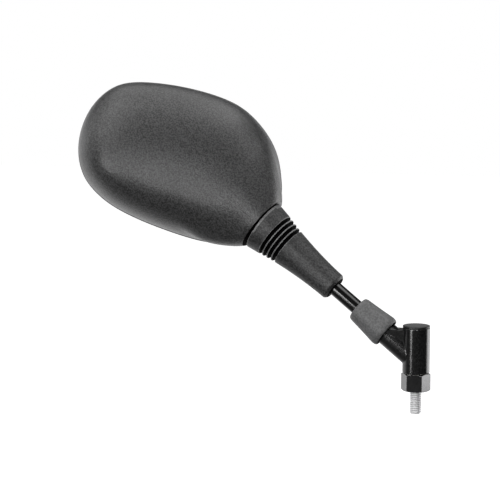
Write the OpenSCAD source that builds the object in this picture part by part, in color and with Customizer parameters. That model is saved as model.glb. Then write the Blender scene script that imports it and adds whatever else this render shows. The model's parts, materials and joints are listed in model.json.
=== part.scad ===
// Handlebar mirror for a motorcycle: threaded base, swivel knuckle, stem and adjustable head.
// The origin is on the stud axis at the seat of the hexagon. +Z runs up the knuckle, the head
// leans towards -X, its moulded back faces -Y and its glass faces +Y.

/* [Base] */
// Width of the base hexagon across flats
hex_af = 17; // [14:0.5:22]
// Height of the base hexagon
hex_h = 11.6; // [8:0.2:16]
// Turn of the hexagon about the stud
hex_turn = 5; // [-30:1:30]
// Height of the chamfer at both ends of the hexagon
hex_chamfer = 1.1; // [0.4:0.1:2]
// Diameter of the threaded stud
stud_d = 8; // [6:1:10]
// Length of the stud below the hexagon
stud_len = 15.5; // [10:0.5:30]
// Chamfer at the tip of the stud
stud_chamfer = 0.9; // [0.3:0.1:1.5]
// Diameter of the shank inside hexagon and knuckle
shank_d = 9; // [8.2:0.1:10]

/* [Knuckle] */
// Outer diameter of the upright knuckle barrel
knuckle_d = 17.9; // [16.8:0.1:24]
// Height of the knuckle's top face above the seat
knuckle_top = 41.9; // [38:0.5:55]
// Thickness of the knuckle floor under the bolt head
floor_t = 8; // [5:0.5:10]
// Thickness of the washer between hexagon and knuckle
thrust_t = 0.8; // [0.5:0.1:1.5]
// Diameter of that washer
thrust_d = 14; // [12:0.5:15]
// Height where the stem axis crosses the stud axis
cross_z = 20.8; // [18:0.2:26]
// Diameter of the slanted boss that takes the stem
boss_d = 15.8; // [14:0.1:18]
// Distance from the crossing to the face of the boss
boss_len = 27.5; // [24:0.5:34]
// Depth of the threaded hole in the boss
boss_hole = 12.8; // [8:0.1:13]
// Distance of the web's top edge below the top of the knuckle
web_drop = 1.9; // [0.5:0.1:6]
// Thickness of the web at the barrel
web_t1 = 9; // [5:0.5:14]
// Thickness of the web at the face of the boss
web_t2 = 13.6; // [5:0.1:14]
// Thickness of the cap's crown over the barrel
cap_t = 1.5; // [0.8:0.1:3]
// Depth of the cap's plug
cap_plug = 3.5; // [2:0.1:5]

/* [Pivot bolt] */
// Diameter of the bolt head
bolt_head_d = 13; // [11:0.1:13.2]
// Height of the bolt head
bolt_head_h = 7; // [4:0.5:8]
// Key size of the bolt head
bolt_key = 6; // [4:0.5:8]
// Depth of the key socket
bolt_key_h = 4; // [2:0.1:5]
// Thickness of one cupped spring washer
cup_t = 0.8; // [0.4:0.1:1.2]
// Free rise of a cupped spring washer
cup_rise = 0.5; // [0.2:0.1:1]
// Thickness of the plain washer under the bolt head
plain_t = 1.2; // [0.8:0.1:2]

/* [Stem] */
// Slope of the stem above the horizontal
stem_slope = 38; // [25:0.5:50]
// Diameter of the stem rod
rod_d = 9.8; // [8:0.1:11]
// Distance from the crossing to the centre of the ball
ball_at = 148; // [130:1:200]
// Diameter of the ball at the end of the rod
ball_d = 16; // [14:0.1:17]
// Width across flats of the lock nut
nut_af = 16; // [14:0.5:16.5]
// Thickness of the lock nut
nut_h = 6; // [4:0.5:8]
// Thickness of the split washer under the nut
lock_t = 1.8; // [1:0.1:2.5]
// Outer diameter of the split washer
lock_d = 15; // [13:0.1:15.6]

/* [Nut cover] */
// Length of the rubber cover over the nut
cover_len = 25.8; // [20:0.1:32]
// Diameter of the cover at the knuckle end
cover_d1 = 21.6; // [21.6:0.1:26]
// Diameter of the cover at the rod end
cover_d2 = 17.2; // [14:0.1:20]
// Rounding of the cover's ends
cover_r = 2.4; // [1:0.1:3]
// Lap of the cover over the boss
cover_lap = 1.3; // [0.5:0.1:3]

/* [Boot] */
// Distance from the crossing to the small end of the boot
boot_at = 71.5; // [66:0.5:90]
// Diameter of the small end
boot_d1 = 19.3; // [16:0.1:22]
// Diameter of the cone next to the folds
boot_d2 = 27; // [24:0.1:30]
// Length of the cone
boot_cone = 42.4; // [30:0.1:48]
// Flare of the cone, 1 for a straight one
boot_flare = 1.8; // [1:0.1:2.5]
// Chamfer of the small end
boot_chamfer = 1.6; // [0.5:0.1:2.5]
// Number of folds in the bellows
folds = 3; // [2:1:5]
// Width of each groove between the folds
groove_w = 2.15; // [1:0.05:3]
// Width of each fold
fold_w = 1.25; // [0.6:0.05:2]
// Depth of the grooves
groove_depth = 3; // [1:0.1:4]
// Width of the collar
collar_w = 9.4; // [6:0.1:14]
// Diameter of the collar next to the folds
collar_d1 = 32.1; // [30:0.1:34]
// Diameter of the collar next to the housing
collar_d2 = 35.6; // [33:0.1:36]
// Wall of the boot
boot_wall = 2.4; // [1.5:0.1:3]

/* [Head] */
// Turn of the head about the upright
head_yaw = 24; // [0:1:40]
// Tip of the head's back upwards
head_pitch = 7; // [-5:0.5:15]
// Distance from the ball centre forward to the rim plane
rim_front = 21; // [20.5:0.5:26]
// Distance from the rim plane back to the top of the dome
dome_h = 40; // [34:0.5:50]
// Wall of the housing
shell_wall = 2.6; // [1.8:0.1:3.2]
// Fullness of the dome's shoulders
shoulder = 2.3; // [1.8:0.1:4]
// Fullness of the dome's crown
crown = 2; // [1.6:0.1:3]
// Height of the bead around the rim
bead_h = 2.4; // [1:0.1:4]
// Step from the bead in to the dome
bead_step = 0.5; // [0.2:0.1:1]
// Diameter of the neck at the boot
neck_d = 35.8; // [33:0.1:37]
// Distance from the ball centre to the face of the neck
neck_out = 10.2; // [9.6:0.1:12]
// Length of the neck's flare into the dome
neck_flare = 24; // [16:0.5:30]
// Growth of the neck's half width on its way into the dome
neck_spread = 17; // [8:0.5:22]
// Loss of the neck's half height on its way into the dome
neck_sink = 1.5; // [0:0.1:3]

/* [Ball joint] */
// Tilt of the head to each side, in degrees
tilt = 12; // [6:0.5:14]
// Thickness of the two seats around the ball
seat_t = 1.85; // [1:0.05:2.5]
// Outer diameter of the socket inside the housing
socket_d = 27; // [26:0.1:27.4]
// Thickness of the clamp plate
plate_t = 2; // [1.5:0.1:3]
// Height of the clamp plate's underside above the ball centre
plate_at = 5; // [4.5:0.1:6]
// Diameter of the clamp screws
screw_d = 2; // [1.6:0.1:2.2]
// Length of the clamp screws under the head
screw_len = 8; // [5:0.5:9]
// Number of clamp screws
screws = 3; // [3:1:4]

/* [Glass] */
// Thickness of the glass
glass_t = 2; // [1.5:0.1:3]
// Distance of the glass face behind the rim plane
glass_sink = 0.6; // [0.2:0.1:1.5]
// Width of the seal between rim and glass
seal_w = 1.8; // [1:0.1:3]
// Thickness of the foam pad behind the glass
pad_t = 1; // [0.5:0.1:1.5]
// Thickness of the carrier plate behind the pad
carrier_t = 1.4; // [1:0.1:2]
// Height of the carrier's rim
carrier_lip = 3; // [2:0.1:5]

/* [Fits] */
// Running clearance at the seats and bores
run_gap = 0.15; // [0.1:0.01:0.3]
// Clearance round the pivot bolt's shank in the knuckle
pivot_gap = 0.08; // [0.02:0.01:0.1]
// Visible gap between parts that move against each other
joint_gap = 0.35; // [0.3:0.05:0.8]

/* [Hidden] */

$fn = 96;
eps = 0.01;

// Heights along the stud axis
knuckle_foot = hex_h + joint_gap;
floor_top = knuckle_foot + floor_t;
cups = 2;
stack_top = floor_top + cups * (cup_t + cup_rise);
head_under = stack_top + plain_t;
well_d = bolt_head_d + 0.6;

// The outline of the rim, in millimetres from the ball centre, to the right and up
rim_points = [
    [21.9, 11.9], [21.7, 27], [18.9, 43.1], [10.8, 58.7], [-3.8, 74.1], [-21.9, 82.8],
    [-42.9, 88.6], [-62, 91.7], [-79, 92.6], [-91.6, 90.2], [-102.2, 83.3], [-110.8, 73],
    [-116.6, 59.6], [-118.6, 45.5], [-116.6, 32.4], [-110.9, 21.2], [-98.2, 8.9], [-80.2, -1.1],
    [-60.1, -9.3], [-39.1, -16.3], [-21, -19.7], [-5.9, -18.9], [6.2, -13.8], [16.8, -2.7]
];
rim_steps = 3;
dome_rows = 11;
// The two ends of the dome's crest, which runs from the far side of the head to the ball
crest_from = [-92, 31];
crest_to = [-14, 8];
neck_sides = 40;
neck_rows = 6;
neck_power = 0.8;

// A point of the closed curve through the rim points
function curve_point(p, i, t) =
    let (n = len(p), a = p[(i + n - 1) % n], b = p[i], c = p[(i + 1) % n], d = p[(i + 2) % n])
    0.5 * (2 * b + (c - a) * t + (2 * a - 5 * b + 4 * c - d) * t * t
        + (3 * b - a - 3 * c + d) * t * t * t);

rim = [for (i = [0 : len(rim_points) - 1], k = [0 : rim_steps - 1])
    curve_point(rim_points, i, k / rim_steps)];

// The outline moved inwards by d
function inset(d) =
    [for (i = [0 : len(rim) - 1])
        let (n = len(rim), v = rim[(i + 1) % n] - rim[(i + n - 1) % n])
        rim[i] + d * [-v[1], v[0]] / norm(v)];

// Directions of the head's frame seen from the stem
function turn_z(v, a) = [v[0] * cos(a) - v[1] * sin(a), v[0] * sin(a) + v[1] * cos(a), v[2]];
function turn_x(v, a) = [v[0], v[1] * cos(a) - v[2] * sin(a), v[1] * sin(a) + v[2] * cos(a)];
stem_dir = [-cos(stem_slope), 0, sin(stem_slope)];
neck_dir = turn_x(turn_z(-stem_dir, -head_yaw), head_pitch);
neck_side = cross([0, -1, 0], neck_dir) / norm(cross([0, -1, 0], neck_dir));
neck_back = cross(neck_dir, neck_side);

module stem_frame(at = 0) {
    translate([0, 0, cross_z]) rotate([0, stem_slope - 90, 0]) translate([0, 0, at]) children();
}

module head_frame() {
    translate([0, 0, cross_z] + ball_at * stem_dir)
        rotate([0, 0, head_yaw]) rotate([-head_pitch, 0, 0]) children();
}

// A closed solid from rings of equal length, with a point or a flat face at each end
module loft(rings) {
    n = len(rings[0]);
    rows = len(rings);
    points = [for (r = rings, p = r) p];
    sides = [for (j = [0 : rows - 2], i = [0 : n - 1], k = [0, 1])
        let (a = j * n + i, b = j * n + (i + 1) % n, c = a + n, d = b + n)
        k == 0 ? [a, d, b] : [a, c, d]];
    first = [[for (i = [0 : n - 1]) i]];
    last = [[for (i = [n - 1 : -1 : 0]) (rows - 1) * n + i]];
    polyhedron(points, concat(sides, first, last), convexity = 6);
}

// The point of the crest that a point of the outline is drawn towards
crest_dir = (crest_to - crest_from) / norm(crest_to - crest_from);
rim_along = [for (p = rim) p * crest_dir];
function crest_point(p) =
    crest_from + (crest_to - crest_from) * (p * crest_dir - min(rim_along))
        / (max(rim_along) - min(rim_along));

// A ring of the dome: the outline drawn in to a share s of its way, at a distance back
function dome_ring(line, s, back) =
    [for (p = line) let (c = crest_point(p), q = c + s * (p - c)) [q[0], -back, q[1]]];

// The rings of the dome from its rim to its crown
function dome_rings(line, foot, rise) =
    [for (j = [0 : dome_rows])
        let (a = 90 * j / (dome_rows + 0.35))
        dome_ring(line, pow(cos(a), 2 / shoulder), foot + rise * pow(sin(a), 2 / crown))];

rim_back = -rim_front;

module dome_outer() {
    loft(concat([dome_ring(rim, 1, rim_back), dome_ring(rim, 1, rim_back + bead_h)],
        dome_rings(inset(bead_step), rim_back + bead_h + bead_step, dome_h - bead_h - bead_step)));
}

module dome_inner() {
    loft(concat([dome_ring(inset(shell_wall), 1, rim_back - 1)],
        dome_rings(inset(shell_wall), rim_back + recess, dome_h - recess - shell_wall)));
}

// The neck flares from a circle at the boot into the corner of the dome
function neck_ring(k) =
    let (u = k / neck_rows, w = neck_d / 2 + neck_spread * pow(u, neck_power),
        h = neck_d / 2 - neck_sink * u, c = (neck_out - neck_flare * u) * neck_dir)
    [for (i = [0 : neck_sides - 1])
        let (a = 360 * i / neck_sides)
        c + w * cos(a) * neck_side + h * sin(a) * neck_back];

module neck() {
    loft([for (k = [neck_rows : -1 : 0]) neck_ring(k)]);
}

module ring(d1, d2, h) {
    difference() {
        cylinder(d = d1, h = h);
        translate([0, 0, -1]) cylinder(d = d2, h = h + 2);
    }
}

module hexagon(af, h) {
    cylinder(d = af / cos(30), h = h, $fn = 6);
}

module hex_base() {
    color([0.07, 0.07, 0.075]) difference() {
        intersection() {
            rotate([0, 0, hex_turn]) hexagon(hex_af, hex_h);
            rotate_extrude() polygon([[0, 0], [hex_af / 2, 0],
                [hex_af / 2 + 2 * hex_chamfer, hex_chamfer],
                [hex_af / 2 + 2 * hex_chamfer, hex_h - hex_chamfer],
                [hex_af / 2, hex_h], [0, hex_h]]);
        }
        translate([0, 0, -1]) cylinder(d = shank_d, h = hex_h + 2);
    }
}

module pivot_bolt() {
    color([0.78, 0.79, 0.8]) difference() {
        union() {
            rotate_extrude() polygon([[0, -stud_len], [stud_d / 2 - stud_chamfer, -stud_len],
                [stud_d / 2, stud_chamfer - stud_len], [stud_d / 2, 0], [0, 0]]);
            cylinder(d = shank_d, h = head_under + eps);
            translate([0, 0, head_under]) cylinder(d = bolt_head_d, h = bolt_head_h);
        }
        translate([0, 0, head_under + bolt_head_h - bolt_key_h]) hexagon(bolt_key, bolt_key_h + 1);
    }
}

module thrust_washer() {
    color([0.72, 0.7, 0.62]) translate([0, 0, hex_h]) ring(thrust_d, shank_d + 2 * run_gap, thrust_t);
}

// The web fills the angle between barrel and boss and is level on top
module web() {
    top = knuckle_top - web_drop;
    reach = boss_len * cos(stem_slope);
    foot = cross_z + boss_len * sin(stem_slope);
    intersection() {
        rotate([90, 0, 0]) translate([0, 0, -knuckle_d / 2]) linear_extrude(knuckle_d)
            polygon([[0, cross_z], [0, top], [-reach, top], [-reach, min(top, foot)]]);
        translate([0, 0, cross_z - 1]) linear_extrude(knuckle_top)
            polygon([[0, -web_t1 / 2], [0, web_t1 / 2], [-reach, web_t2 / 2], [-reach, -web_t2 / 2]]);
        stem_frame() cylinder(r = knuckle_top, h = boss_len - cover_lap - joint_gap);
    }
}

module knuckle() {
    color([0.06, 0.06, 0.065]) difference() {
        union() {
            translate([0, 0, knuckle_foot]) cylinder(d = knuckle_d, h = knuckle_top - knuckle_foot);
            stem_frame() cylinder(d = boss_d, h = boss_len);
            web();
        }
        translate([0, 0, floor_top]) cylinder(d = well_d, h = knuckle_top);
        cylinder(d = shank_d + 2 * pivot_gap, h = knuckle_top);
        translate([0, 0, hex_h - 1])
            cylinder(d = thrust_d + 2 * run_gap, h = 1 + thrust_t + run_gap);
        stem_frame(boss_len - boss_hole) cylinder(d = rod_d, h = boss_hole + 1);
    }
}

module pivot_cap() {
    edge = 1.1;
    r = knuckle_d / 2;
    color([0.07, 0.07, 0.075]) union() {
        translate([0, 0, knuckle_top]) rotate_extrude() intersection() {
            square([r, cap_t]);
            union() {
                square([r - edge, cap_t]);
                square([r, cap_t - edge]);
                translate([r - edge, cap_t - edge]) circle(edge);
            }
        }
        translate([0, 0, knuckle_top - cap_plug]) cylinder(d = well_d - 2 * run_gap, h = cap_plug);
    }
}

module spring_washers() {
    hole = shank_d / 2 + run_gap;
    edge = bolt_head_d / 2;
    color([0.6, 0.6, 0.58]) for (i = [0 : cups - 1])
        translate([0, 0, floor_top + i * (cup_t + cup_rise)]) rotate_extrude()
            polygon(i % 2 == 0 ?
                [[hole, 0], [edge, cup_rise], [edge, cup_rise + cup_t], [hole, cup_t]] :
                [[hole, cup_rise], [edge, 0], [edge, cup_t], [hole, cup_rise + cup_t]]);
}

module plain_washer() {
    color([0.75, 0.75, 0.74]) translate([0, 0, stack_top])
        ring(bolt_head_d, shank_d + 2 * run_gap, plain_t);
}

module stem_rod() {
    color([0.07, 0.07, 0.075]) stem_frame() union() {
        translate([0, 0, boss_len - boss_hole]) cylinder(d = rod_d, h = ball_at - boss_len + boss_hole);
        translate([0, 0, ball_at]) sphere(d = ball_d);
    }
}

module lock_washer() {
    color([0.7, 0.7, 0.7]) stem_frame(boss_len) difference() {
        ring(lock_d, rod_d + 2 * run_gap, lock_t);
        translate([0, -0.5, -1]) cube([lock_d, 1, lock_t + 2]);
    }
}

module lock_nut() {
    color([0.7, 0.7, 0.68]) stem_frame(boss_len + lock_t) difference() {
        intersection() {
            hexagon(nut_af, nut_h);
            rotate_extrude() polygon([[0, 0], [nut_af / 2, 0], [nut_af / 2 + 2, 1],
                [nut_af / 2 + 2, nut_h - 1], [nut_af / 2, nut_h], [0, nut_h]]);
        }
        translate([0, 0, -1]) cylinder(d = rod_d, h = nut_h + 2);
    }
}

// The rubber cover: a tapered sleeve with round ends and a pocket for nut and boss
module nut_cover() {
    pocket_d = max(nut_af / cos(30), boss_d) + 2 * run_gap;
    pocket = cover_lap + lock_t + nut_h + joint_gap;
    bore = rod_d + 2 * run_gap;
    color([0.2, 0.2, 0.2]) stem_frame(boss_len - cover_lap) difference() {
        rotate_extrude() union() {
            polygon([[0, 0], [cover_d1 / 2 - cover_r, 0],
                [cover_d1 / 2, cover_r], [cover_d2 / 2, cover_len - cover_r],
                [cover_d2 / 2 - cover_r, cover_len], [0, cover_len]]);
            translate([cover_d1 / 2 - cover_r, cover_r]) circle(cover_r);
            translate([cover_d2 / 2 - cover_r, cover_len - cover_r]) circle(cover_r);
        }
        translate([0, 0, -1]) cylinder(d = pocket_d, h = pocket + 1);
        translate([0, 0, pocket - eps]) cylinder(d1 = pocket_d, d2 = bore, h = 3);
        cylinder(d = bore, h = cover_len + 1);
    }
}

// The boot: cone, folds and collar, turned in one piece of rubber
module stem_boot() {
    cone_steps = 12;
    pitch = groove_w + fold_w;
    bellows = folds * pitch + groove_w;
    len_all = boot_cone + bellows + collar_w;
    bore = rod_d + 2 * run_gap;
    room = boot_d2 - 2 * groove_depth - 2 * boot_wall;
    fold_d = function (i) boot_d2 + (collar_d1 - boot_d2) * (i + 1) / (folds + 1);
    root = function (z) (boot_d2 + (collar_d1 - boot_d2) * (z - boot_cone) / bellows) / 2
        - groove_depth;
    color([0.12, 0.12, 0.12]) stem_frame(boot_at) difference() {
        rotate_extrude() polygon(concat(
            [[0, 0], [boot_d1 / 2 - boot_chamfer, 0]],
            [for (i = [0 : cone_steps])
                let (z = boot_chamfer + (boot_cone - boot_chamfer) * i / cone_steps)
                [(boot_d1 + (boot_d2 - boot_d1) * pow(z / boot_cone, boot_flare)) / 2, z]],
            [for (i = [0 : folds - 1], k = [0 : 3])
                let (z = boot_cone + i * pitch)
                k == 0 ? [root(z), z] : k == 1 ? [root(z), z + groove_w]
                    : k == 2 ? [fold_d(i) / 2, z + groove_w] : [fold_d(i) / 2, z + pitch]],
            [[root(len_all - collar_w), boot_cone + folds * pitch],
                [root(len_all - collar_w), len_all - collar_w],
                [collar_d1 / 2, len_all - collar_w], [collar_d2 / 2, len_all], [0, len_all]]));
        translate([0, 0, -1]) cylinder(d = bore, h = len_all + 2);
        translate([0, 0, boot_cone / 2]) cylinder(d1 = bore, d2 = room, h = boot_cone / 2);
        translate([0, 0, boot_cone - eps]) cylinder(d = room, h = bellows + collar_w + 1);
    }
}

socket_room = 10;
seat_in = ball_d / 2 + run_gap;
seat_out = seat_in + seat_t;
socket_r = seat_out + run_gap;
tilt_both = sqrt(2) * tilt + 1;
rod_angle = asin(rod_d / ball_d);

// Part of a hollow ball between two angles measured from the knuckle side of the stem
module ball_zone(from, to) {
    steps = 12;
    inner = [for (i = [0 : steps]) let (a = from + (to - from) * i / steps)
        seat_in * [sin(a), -cos(a)]];
    outer = [for (i = [steps : -1 : 0]) let (a = from + (to - from) * i / steps)
        seat_out * [sin(a), -cos(a)]];
    rotate_extrude() polygon(concat(inner, outer));
}

module seat_ring() {
    color([0.85, 0.84, 0.8]) stem_frame(ball_at) ball_zone(rod_angle + tilt + 3, 81);
}

module seat_cup() {
    color([0.85, 0.84, 0.8]) stem_frame(ball_at) ball_zone(98, 155);
}

screw_ring = (socket_d / 2 + socket_r) / 2;
screw_head_h = 1.2;

module rear_housing() {
    neck_hole = rod_d / cos(tilt_both) + 2 * (neck_out * tan(tilt_both) + run_gap);
    color([0.16, 0.16, 0.165]) difference() {
        union() {
            head_frame() difference() {
                union() {
                    dome_outer();
                    neck();
                }
                dome_inner();
            }
            stem_frame(ball_at - neck_out + 1) cylinder(d = socket_d, h = neck_out - 1 + plate_at);
        }
        stem_frame(ball_at) sphere(r = socket_r);
        stem_frame(ball_at) cylinder(r = socket_r, h = plate_at + 1);
        stem_frame(ball_at + plate_at) cylinder(d = socket_d + 2 * run_gap, h = socket_room);
        stem_frame(ball_at - neck_out - 1) cylinder(d = neck_hole, h = neck_out + 1);
        for (i = [0 : screws - 1]) stem_frame(ball_at + plate_at - screw_len)
            rotate([0, 0, 360 / screws * (i + 0.5)]) translate([screw_ring, 0, 0])
                cylinder(d = screw_d, h = screw_len + 1);
    }
}

module clamp_plate() {
    color([0.65, 0.65, 0.63]) stem_frame(ball_at) difference() {
        translate([0, 0, plate_at]) cylinder(d = socket_d, h = plate_t);
        sphere(r = socket_r);
        for (i = [0 : screws - 1]) rotate([0, 0, 360 / screws * (i + 0.5)])
            translate([screw_ring, 0, 0]) cylinder(d = screw_d + 0.2, h = plate_at + plate_t + 1);
    }
}

module clamp_screws() {
    color([0.6, 0.6, 0.6]) for (i = [0 : screws - 1])
        stem_frame(ball_at + plate_at + plate_t) rotate([0, 0, 360 / screws * (i + 0.5)])
            translate([screw_ring, 0, 0]) union() {
                translate([0, 0, -screw_len]) cylinder(d = screw_d, h = screw_len);
                cylinder(d = 1.5 * screw_d, h = screw_head_h);
            }
}

// A flat plate that follows the outline, from a distance behind the rim plane
module rim_plate(in, sink, t) {
    rotate([90, 0, 0]) translate([0, 0, rim_back + sink]) linear_extrude(t) polygon(inset(in));
}

glass_in = shell_wall + run_gap + seal_w;
pad_at = glass_sink + glass_t;
carrier_at = pad_at + pad_t;
// Depth of the straight recess of the rim, as far as the seal reaches
recess = carrier_at + carrier_t;
seal_sink = 0.2;

module mirror_glass() {
    color([0.75, 0.8, 0.84]) head_frame() rim_plate(glass_in, glass_sink, glass_t);
}

module foam_pad() {
    color([0.25, 0.25, 0.27]) head_frame() rim_plate(glass_in + 2, pad_at, pad_t);
}

module glass_carrier() {
    back = carrier_at + carrier_t;
    color([0.1, 0.1, 0.1]) difference() {
        head_frame() union() {
            rim_plate(glass_in, carrier_at, carrier_t);
            difference() {
                rim_plate(glass_in, back - eps, carrier_lip);
                rim_plate(glass_in + carrier_t, back - 1, carrier_lip + 2);
            }
        }
        stem_frame(ball_at - neck_out)
            cylinder(d = socket_d + 1.2, h = neck_out + plate_at + plate_t + screw_head_h);
    }
}

module glass_seal() {
    depth = recess - seal_sink;
    color([0.06, 0.06, 0.06]) head_frame() difference() {
        rim_plate(shell_wall + run_gap, seal_sink, depth);
        rim_plate(glass_in, seal_sink - 1, depth + 2);
    }
}

hex_base();
pivot_bolt();
thrust_washer();
knuckle();
pivot_cap();
spring_washers();
plain_washer();
stem_rod();
lock_nut();
lock_washer();
nut_cover();
stem_boot();
seat_ring();
seat_cup();
rear_housing();
clamp_plate();
clamp_screws();
glass_carrier();
foam_pad();
mirror_glass();
glass_seal();
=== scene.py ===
import json
import math

import bmesh
import bpy
import numpy as np
from mathutils import Matrix, Quaternion, Vector

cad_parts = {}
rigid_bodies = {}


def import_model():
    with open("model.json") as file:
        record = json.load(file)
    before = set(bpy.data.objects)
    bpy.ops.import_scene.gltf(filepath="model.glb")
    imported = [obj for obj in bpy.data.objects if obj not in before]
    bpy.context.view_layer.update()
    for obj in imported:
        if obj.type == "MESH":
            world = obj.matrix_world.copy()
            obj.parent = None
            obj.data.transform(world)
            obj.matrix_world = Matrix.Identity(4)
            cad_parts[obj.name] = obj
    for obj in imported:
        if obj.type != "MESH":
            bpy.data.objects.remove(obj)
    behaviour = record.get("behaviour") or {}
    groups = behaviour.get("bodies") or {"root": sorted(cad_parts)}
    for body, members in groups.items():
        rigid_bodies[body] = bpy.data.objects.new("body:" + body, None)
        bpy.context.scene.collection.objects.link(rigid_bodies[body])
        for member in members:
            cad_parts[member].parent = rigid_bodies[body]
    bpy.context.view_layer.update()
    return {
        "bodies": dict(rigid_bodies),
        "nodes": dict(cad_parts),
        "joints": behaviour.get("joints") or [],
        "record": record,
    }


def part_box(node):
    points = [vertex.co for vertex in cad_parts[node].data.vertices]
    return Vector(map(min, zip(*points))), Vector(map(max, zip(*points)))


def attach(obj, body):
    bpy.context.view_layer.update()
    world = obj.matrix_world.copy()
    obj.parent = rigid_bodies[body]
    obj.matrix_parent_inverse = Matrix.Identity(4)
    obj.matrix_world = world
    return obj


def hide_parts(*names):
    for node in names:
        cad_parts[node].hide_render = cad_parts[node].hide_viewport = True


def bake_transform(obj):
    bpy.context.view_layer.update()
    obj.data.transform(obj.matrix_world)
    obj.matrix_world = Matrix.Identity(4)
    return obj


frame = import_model()
nodes = frame["nodes"]

MM = 0.001
IMAGE_WIDTH = 500

# The stem, as the joints give it: it leaves the knuckle at CROSS and carries the ball at BALL
joints = {j["name"]: j for j in frame["joints"]}
BALL = Vector(joints["head_turn"]["pos_m"])
STEM = Vector(joints["head_turn"]["axis"]).normalized()
CROSS = BALL - STEM * (BALL.x / STEM.x)


def material(name):
    mat = bpy.data.materials.new(name)
    mat.use_nodes = True
    tree = mat.node_tree
    return mat, tree, tree.nodes["Principled BSDF"]


def add(tree, kind, **settings):
    node = tree.nodes.new(kind)
    for key, value in settings.items():
        if key in node.inputs:
            node.inputs[key].default_value = value
        else:
            setattr(node, key, value)
    return node


def coords(tree):
    return add(tree, "ShaderNodeTexCoord").outputs["Object"]


def noise(tree, scale, detail=2.0, rough=0.5):
    tex = add(tree, "ShaderNodeTexNoise", Scale=scale, Detail=detail, Roughness=rough)
    tree.links.new(coords(tree), tex.inputs["Vector"])
    return tex.outputs["Fac"]


def ramp(tree, value, low, high, colour_a, colour_b):
    node = add(tree, "ShaderNodeValToRGB")
    node.color_ramp.elements[0].position = low
    node.color_ramp.elements[0].color = (*colour_a, 1)
    node.color_ramp.elements[1].position = high
    node.color_ramp.elements[1].color = (*colour_b, 1)
    tree.links.new(value, node.inputs["Fac"])
    return node.outputs["Color"]


def span(tree, value, low, high):
    node = add(tree, "ShaderNodeMapRange")
    node.inputs["To Min"].default_value = low
    node.inputs["To Max"].default_value = high
    tree.links.new(value, node.inputs["Value"])
    return node.outputs["Result"]


def bump(tree, bsdf, value, distance, strength=1.0):
    node = add(tree, "ShaderNodeBump", Strength=strength, Distance=distance)
    tree.links.new(value, node.inputs["Height"])
    tree.links.new(node.outputs["Normal"], bsdf.inputs["Normal"])


def grey(level):
    return (level, level, level * 1.01)


def in_the_open(tree, reach, closed=0.35, opened=0.75):
    """1 on an open face and 0 deep in a groove or gap, where little light gets in; painted shade
    follows it.
    """
    node = add(tree, "ShaderNodeAmbientOcclusion", Distance=reach)
    node.samples = 8
    share = add(tree, "ShaderNodeMapRange", interpolation_type="SMOOTHSTEP")
    share.inputs["From Min"].default_value = closed
    share.inputs["From Max"].default_value = opened
    tree.links.new(node.outputs["AO"], share.inputs["Value"])
    return share.outputs["Result"]


def paint_shade(tree, bsdf, colour, share):
    """Painted shade: take the colour and the gloss down where the share is small."""
    mix = add(tree, "ShaderNodeMix", data_type="RGBA")
    mix.inputs["A"].default_value = (0.001, 0.001, 0.001, 1)
    tree.links.new(share, mix.inputs["Factor"])
    tree.links.new(colour, mix.inputs["B"])
    tree.links.new(mix.outputs["Result"], bsdf.inputs["Base Color"])
    tree.links.new(span(tree, share, 0.05, 0.5), bsdf.inputs["Specular IOR Level"])


def grained_plastic():
    mat, tree, bsdf = material("grained_black_plastic")
    grain = noise(tree, 1000, 3.0, 0.6)
    colour = ramp(tree, grain, 0.4, 0.6, grey(0.006), grey(0.051))
    # Painted shade in the grooves and gaps of the grained plastic
    paint_shade(tree, bsdf, colour, in_the_open(tree, 0.004))
    tree.links.new(span(tree, noise(tree, 300), 0.34, 0.4), bsdf.inputs["Roughness"])
    bump(tree, bsdf, grain, 0.00025, 0.8)
    return mat


def rubber(name, low, high, rough, scale=900):
    mat, tree, bsdf = material(name)
    grain = noise(tree, scale, 4.0, 0.65)
    colour = ramp(tree, grain, 0.43, 0.57, grey(low), grey(high))
    # Painted shade in the rubber's grooves and gaps
    paint_shade(tree, bsdf, colour, in_the_open(tree, 0.004))
    tree.links.new(span(tree, noise(tree, 200), rough, rough + 0.12), bsdf.inputs["Roughness"])
    bump(tree, bsdf, grain, 0.00015, 0.7)
    return mat


def gloss_black():
    mat, tree, bsdf = material("gloss_black_enamel")
    peel = noise(tree, 450, 2.0, 0.5)
    tree.links.new(ramp(tree, peel, 0.3, 0.7, grey(0.003), grey(0.006)), bsdf.inputs["Base Color"])
    tree.links.new(span(tree, noise(tree, 120), 0.1, 0.16), bsdf.inputs["Roughness"])
    bump(tree, bsdf, peel, 0.00002, 0.4)
    return mat


def cast_black():
    mat, tree, bsdf = material("enamelled_casting")
    cast = noise(tree, 1100, 3.0, 0.6)
    colour = ramp(tree, cast, 0.4, 0.6, grey(0.003), grey(0.014))
    # Painted shade in the casting's inner corners
    paint_shade(tree, bsdf, colour, in_the_open(tree, 0.004, 0.6, 0.95))
    tree.links.new(span(tree, noise(tree, 500), 0.12, 0.2), bsdf.inputs["Roughness"])
    bump(tree, bsdf, cast, 0.00006, 0.6)
    return mat


def zinc(name="bright_zinc", level=0.99):
    mat, tree, bsdf = material(name)
    bsdf.inputs["Metallic"].default_value = 0.45
    mottle = noise(tree, 600, 3.0, 0.6)
    colour = ramp(tree, mottle, 0.3, 0.7, grey(level - 0.03), grey(level))
    # Painted shade in the roots of the thread
    paint_shade(tree, bsdf, colour, in_the_open(tree, 0.001, 0.0, 0.5))
    tree.links.new(span(tree, mottle, 0.26, 0.4), bsdf.inputs["Roughness"])
    return mat


# A dull near-black finish, painted shade that keeps the web free of reflections
def web_shade_enamel():
    mat, tree, bsdf = material("web_shade_enamel")
    grain = noise(tree, 1100, 3.0, 0.6)
    tree.links.new(ramp(tree, grain, 0.42, 0.6, grey(0.001), grey(0.01)), bsdf.inputs["Base Color"])
    bsdf.inputs["Roughness"].default_value = 0.5
    bsdf.inputs["Specular IOR Level"].default_value = 0.12
    return mat


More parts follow.
